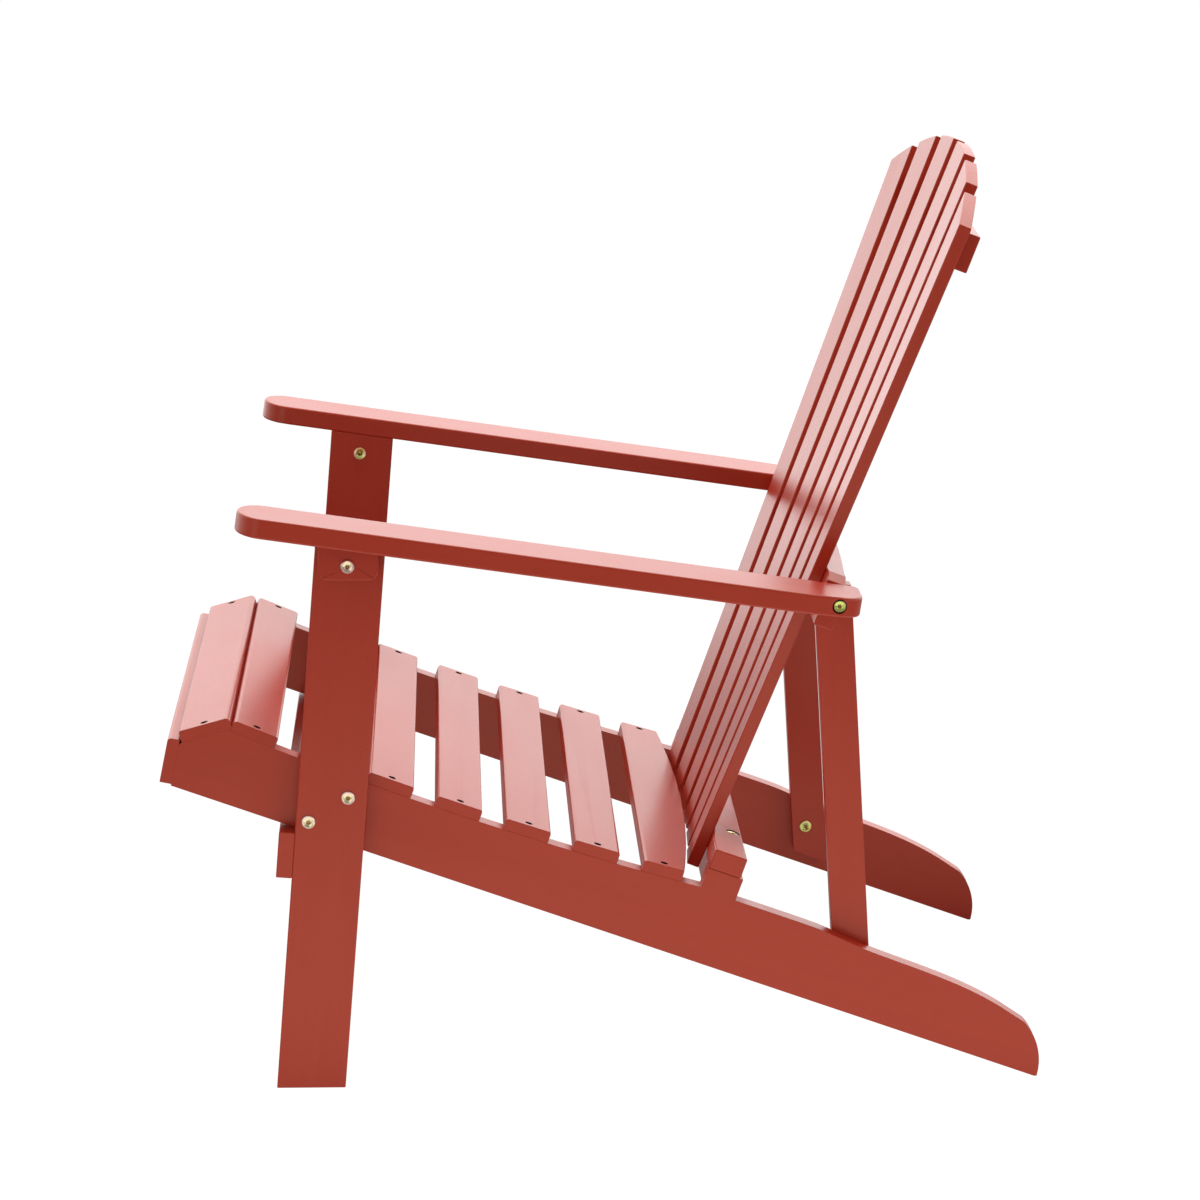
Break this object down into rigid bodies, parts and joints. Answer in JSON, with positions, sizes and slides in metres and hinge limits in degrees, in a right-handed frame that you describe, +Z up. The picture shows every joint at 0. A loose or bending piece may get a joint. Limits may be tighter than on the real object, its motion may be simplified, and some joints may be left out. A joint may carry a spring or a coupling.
{
  "type": "adirondack chair",
  "caption": "Slatted wooden garden lounge chair with a low sloping seat, a fanned reclined back with a rounded top, and broad flat arms.",
  "frame": {"origin": "middle of the chair's footprint box, on the ground", "axes": "+Z up; the chair faces -Y; +X is the sitter's left"},
  "size_m": [0.7, 0.901, 0.9383],
  "materials": {
    "red_painted_wood": "semi-gloss red paint over wood, faint grain showing through",
    "yellow_zinc": "steel, yellow zinc plated, slightly iridescent",
    "dowel_wood": "bare beech, hidden in its holes"
  },
  "bodies": {
    "root": {"seat_rail_left": "red_painted_wood", "seat_rail_right": "red_painted_wood", "front_leg_left": "red_painted_wood", "front_leg_right": "red_painted_wood", "arm_bracket_left": "red_painted_wood", "arm_bracket_right": "red_painted_wood", "arm_left": "red_painted_wood", "arm_right": "red_painted_wood", "rear_post_left": "red_painted_wood", "rear_post_right": "red_painted_wood", "front_stretcher": "red_painted_wood", "rear_stretcher": "red_painted_wood", "nose_slat": "red_painted_wood", "crest_slat": "red_painted_wood", "seat_slat_1": "red_painted_wood", "seat_slat_2": "red_painted_wood", "seat_slat_3": "red_painted_wood", "seat_slat_4": "red_painted_wood", "seat_slat_5": "red_painted_wood", "seat_slat_6": "red_painted_wood", "seat_slat_7": "red_painted_wood", "lower_back_rail": "red_painted_wood", "arm_back_rail": "red_painted_wood", "upper_back_rail": "red_painted_wood", "back_slat_1": "red_painted_wood", "back_slat_2": "red_painted_wood", "back_slat_3": "red_painted_wood", "back_slat_4": "red_painted_wood", "back_slat_5": "red_painted_wood", "back_slat_6": "red_painted_wood", "leg_bolts": "yellow_zinc", "bracket_bolts": "yellow_zinc", "post_bolts": "yellow_zinc", "arm_bolts": "yellow_zinc", "lower_rail_bolts": "yellow_zinc", "insert_nuts": "yellow_zinc", "sleeve_nuts": "yellow_zinc", "seat_screws": "yellow_zinc", "stretcher_screws": "yellow_zinc", "back_screws": "yellow_zinc", "post_screws": "yellow_zinc", "arm_screws": "yellow_zinc", "dowels": "dowel_wood"}
  },
  "joints": []
}
